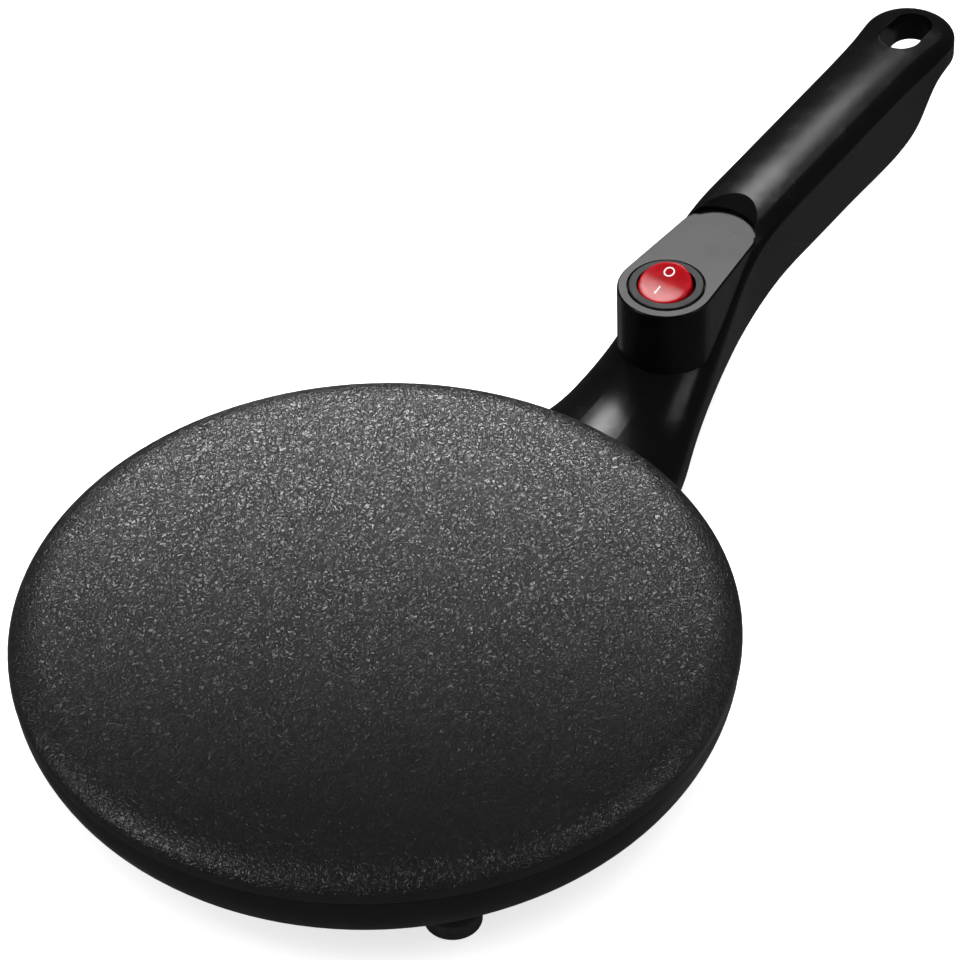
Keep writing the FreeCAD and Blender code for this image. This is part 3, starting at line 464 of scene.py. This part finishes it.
def printed_mark(name, pairs, closed, material):
    """Thin closed strip of quads laid on the rocker's dished face, from pairs of points across it."""
    mesh = bmesh.new()
    levels = []
    for lift in (-MARK_HEIGHT, MARK_HEIGHT):
        levels.append([[mesh.verts.new((x, y, dish_height(x) + lift)) for x, y in pair] for pair in pairs])
    foot, head = levels
    count = len(pairs)
    for index in range(count if closed else count - 1):
        follow = (index + 1) % count
        a, b, c, d = head[index][0], head[index][1], head[follow][1], head[follow][0]
        e, f, g, h = foot[index][0], foot[index][1], foot[follow][1], foot[follow][0]
        for face in ((a, b, c, d), (h, g, f, e), (a, d, h, e), (c, b, f, g)):
            mesh.faces.new(face)
    if not closed:
        mesh.faces.new((head[0][1], head[0][0], foot[0][0], foot[0][1]))
        mesh.faces.new((head[-1][0], head[-1][1], foot[-1][1], foot[-1][0]))
    tip_to_rest(mesh)
    new_piece(name, mesh, material, "rocker")


def off_mark(material):
    """The ring that marks the off side."""
    radii = (OFF_MARK_RADIUS - MARK_STROKE, OFF_MARK_RADIUS)
    pairs = []
    for step in range(OFF_MARK_STEPS):
        angle = 2 * math.pi * step / OFF_MARK_STEPS
        spoke = Vector((math.cos(angle), math.sin(angle)))
        pairs.append([OFF_MARK + spoke * radius for radius in radii])
    printed_mark("mark_off", pairs, True, material)


def on_mark(material):
    """The bar that marks the on side."""
    pairs = []
    for step in range(ON_MARK_STEPS + 1):
        x = ON_MARK.x + ON_MARK_LENGTH * (step / ON_MARK_STEPS - 0.5)
        pairs.append([Vector((x, ON_MARK.y + side * MARK_STROKE / 2)) for side in (-1, 1)])
    printed_mark("mark_on", pairs, False, material)


def on_tower_top(edge):
    """Whether both ends of an edge lie on the tower's flat top."""
    return all(abs(v.co.z - TOWER_TOP_Z) < SAME_LEVEL for v in edge.verts)


def keep_normals(data, source):
    """Give each face the exact normals of the mesh it came from; a rolled edge keeps its own."""
    finder = KDTree(len(source.vertices))
    for vertex in source.vertices:
        finder.insert(vertex.co, vertex.index)
    finder.balance()
    around = [[] for _ in source.vertices]
    for polygon in source.polygons:
        for loop in polygon.loop_indices:
            known = (polygon.normal.copy(), source.corner_normals[loop].vector.copy())
            around[source.loops[loop].vertex_index].append(known)
    normals = []
    for polygon in data.polygons:
        for loop in polygon.loop_indices:
            place = data.vertices[data.loops[loop].vertex_index].co
            near = [known for _, index, _ in finder.find_n(place, NEAR_CORNERS) for known in around[index]]
            facing, normal = max(near, key=lambda known: known[0].dot(polygon.normal))
            same = facing.dot(polygon.normal) > SAME_FACING
            normals.append(normal if same else Vector((0, 0, 0)))
    data.normals_split_custom_set(normals)


def rounded_top_shell(frame, material):
    """The handle's top shell with the tower's top edge rolled over."""
    source = frame["nodes"]["handle_top_shell"].data
    mesh = bmesh.new()
    mesh.from_mesh(source)
    bmesh.ops.remove_doubles(mesh, verts=mesh.verts, dist=SAME_POINT)
    top = [e for e in mesh.edges if on_tower_top(e) and len(e.link_faces) == 2]
    flat = [e for e in top if e.calc_face_angle() < FLAT_ANGLE]
    bmesh.ops.dissolve_edges(mesh, edges=flat, use_verts=False)
    rim = [e for e in mesh.edges
           if on_tower_top(e) and len(e.link_faces) == 2 and e.is_convex and e.calc_face_angle() > RIM_ANGLE
           and all((v.co.xy - Vector((TOWER_X, 0))).length > TOWER_RIM_FROM for v in e.verts)]
    bmesh.ops.bevel(mesh, geom=rim, offset=TOWER_EDGE, segments=EDGE_STEPS, profile=0.5, affect="EDGES",
                    clamp_overlap=False)
    piece = new_piece("top_shell_rounded", mesh, material, "body")
    keep_normals(piece.data, source)
    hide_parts("handle_top_shell")


def make_floor():
    """Plain white floor under the feet."""
    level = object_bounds()[0].z - FLOOR_GAP
    mesh = bmesh.new()
    sides = ((-1, -1), (1, -1), (1, 1), (-1, 1))
    mesh.faces.new([mesh.verts.new((x * FLOOR_HALF, y * FLOOR_HALF, level)) for x, y in sides])
    data = bpy.data.meshes.new("floor")
    mesh.to_mesh(data)
    mesh.free()
    floor = bpy.data.objects.new("floor", data)
    bpy.context.scene.collection.objects.link(floor)
    made = Surface("floor", (0.9, 0.9, 0.9), 0.8)
    made.mottle(0.4, 0.01)
    made.shader.inputs["Emission Color"].default_value = (1, 1, 1, 1)
    made.set(Emission_Strength=FLOOR_GLOW)
    data.materials.append(made.material)
    floor.visible_glossy = False


def light_studio():
    """Soft boxes, a dim surround and plain colour handling."""
    boxes = {}
    for name, place, aim, size, watts in SOFT_BOXES:
        target = HANDLE_AIM if aim is None else studio_place(*aim)
        boxes[name] = soft_box(name, studio_place(*place), target, size, watts)
    boxes["overhead"].visible_glossy = False
    boxes["behind"].data.spread = BACK_LIGHT_SPREAD
    world = bpy.data.worlds.new("studio")
    world.use_nodes = True
    background = world.node_tree.nodes["Background"]
    background.inputs["Color"].default_value = (1, 1, 1, 1)
    background.inputs["Strength"].default_value = WORLD_STRENGTH
    bpy.context.scene.world = world
    bpy.context.scene.view_settings.view_transform = "Standard"


def main():
    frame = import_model()
    made = dress(frame)
    ink = mark_ink()
    rocker_cap(made["rocker_red"])
    rounded_top_shell(frame, made["handle_plastic"])
    off_mark(ink)
    on_mark(ink)
    make_camera()
    make_floor()
    light_studio()


main()
